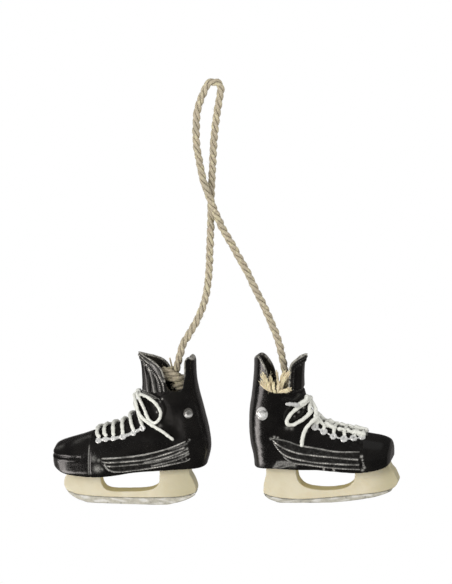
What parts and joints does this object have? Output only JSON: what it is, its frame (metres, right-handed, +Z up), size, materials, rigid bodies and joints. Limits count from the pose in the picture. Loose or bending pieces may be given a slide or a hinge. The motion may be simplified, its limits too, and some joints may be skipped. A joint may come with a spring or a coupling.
{
  "type": "pair of miniature hockey skates",
  "caption": "Hanging pair of miniature lace-up hockey skates with blade holders and runners, joined by a twisted twine cord with a top loop for a hook or a branch.",
  "frame": {"origin": "centre of the flat face on the inside top of the hanging loop, where a hook touches it", "axes": "+Z up, +X to the viewer's right with the left skate's toe to -X and the right skate's toe to +X; the lateral sides face -Y"},
  "size_m": [0.1671, 0.0415, 0.2167],
  "materials": {
    "gloss_black": "glossy painted resin with worn pale edges",
    "cream_resin": "satin cream painted resin",
    "runner_silver": "brushed-on silver paint",
    "bright_silver": "bright silver paint",
    "lace_white": "matt off-white painted resin",
    "band_black": "black with dry-brushed silver stitching",
    "twine": "twisted three-ply jute or cotton twine",
    "frayed_twine": "loose pale fibres"
  },
  "bodies": {
    "loop": {"hanging_loop": "twine"},
    "left_strand": {"left_cord_strand": "twine"},
    "right_strand": {"right_cord_strand": "twine"},
    "left_knot_end": {"left_knot": "twine"},
    "right_knot_end": {"right_knot": "twine"},
    "left_skate": {"left_ankle_rivet_lateral": "bright_silver", "left_ankle_rivet_medial": "bright_silver", "left_blade_holder": "cream_resin", "left_boot_upper": "gloss_black", "left_eyelets_lateral": "bright_silver", "left_eyelets_medial": "bright_silver", "left_lace": "lace_white", "left_lace_bow": "lace_white", "left_outsole": "gloss_black", "left_runner": "runner_silver", "left_side_trim_lateral": "band_black", "left_side_trim_medial": "band_black", "left_tendon_guard": "gloss_black", "left_toe_cap": "gloss_black", "left_tongue": "gloss_black"},
    "right_skate": {"right_ankle_rivet_lateral": "bright_silver", "right_ankle_rivet_medial": "bright_silver", "right_blade_holder": "cream_resin", "right_boot_upper": "gloss_black", "right_eyelets_lateral": "bright_silver", "right_eyelets_medial": "bright_silver", "right_frayed_tuft": "frayed_twine", "right_lace": "lace_white", "right_lace_aglet": "bright_silver", "right_lace_bow": "lace_white", "right_outsole": "gloss_black", "right_runner": "runner_silver", "right_side_trim_lateral": "band_black", "right_side_trim_medial": "band_black", "right_tendon_guard": "gloss_black", "right_toe_cap": "gloss_black", "right_tongue": "gloss_black"}
  },
  "joints": [
    {"name": "left_strand_swing", "type": "hinge", "parent": "loop", "child": "left_strand", "pos_m": [-0.0013, 0.00195, -0.0581], "axis": [0, 1, 0], "range_deg": [-1.5, 35]},
    {"name": "right_strand_swing", "type": "hinge", "parent": "loop", "child": "right_strand", "pos_m": [-0.0013, -0.00195, -0.0581], "axis": [0, -1, 0], "range_deg": [-1.5, 35]},
    {"name": "left_twist", "type": "hinge", "parent": "left_strand", "child": "left_knot_end", "pos_m": [-0.01875, 0, -0.14805], "axis": [0.2342, 0, 0.9722], "range_deg": [-90, 90]},
    {"name": "right_twist", "type": "hinge", "parent": "right_strand", "child": "right_knot_end", "pos_m": [0.03596, 0, -0.1515], "axis": [-0.1948, 0, 0.9808], "range_deg": [-90, 90]},
    {"name": "left_rock", "type": "hinge", "parent": "left_knot_end", "child": "left_skate", "pos_m": [-0.01875, 0, -0.14805], "axis": [0.1822, 0.9833, 0], "range_deg": [-12, 20]},
    {"name": "right_rock", "type": "hinge", "parent": "right_knot_end", "child": "right_skate", "pos_m": [0.03596, 0, -0.1515], "axis": [-0.1822, -0.9833, 0], "range_deg": [-12, 20]}
  ]
}
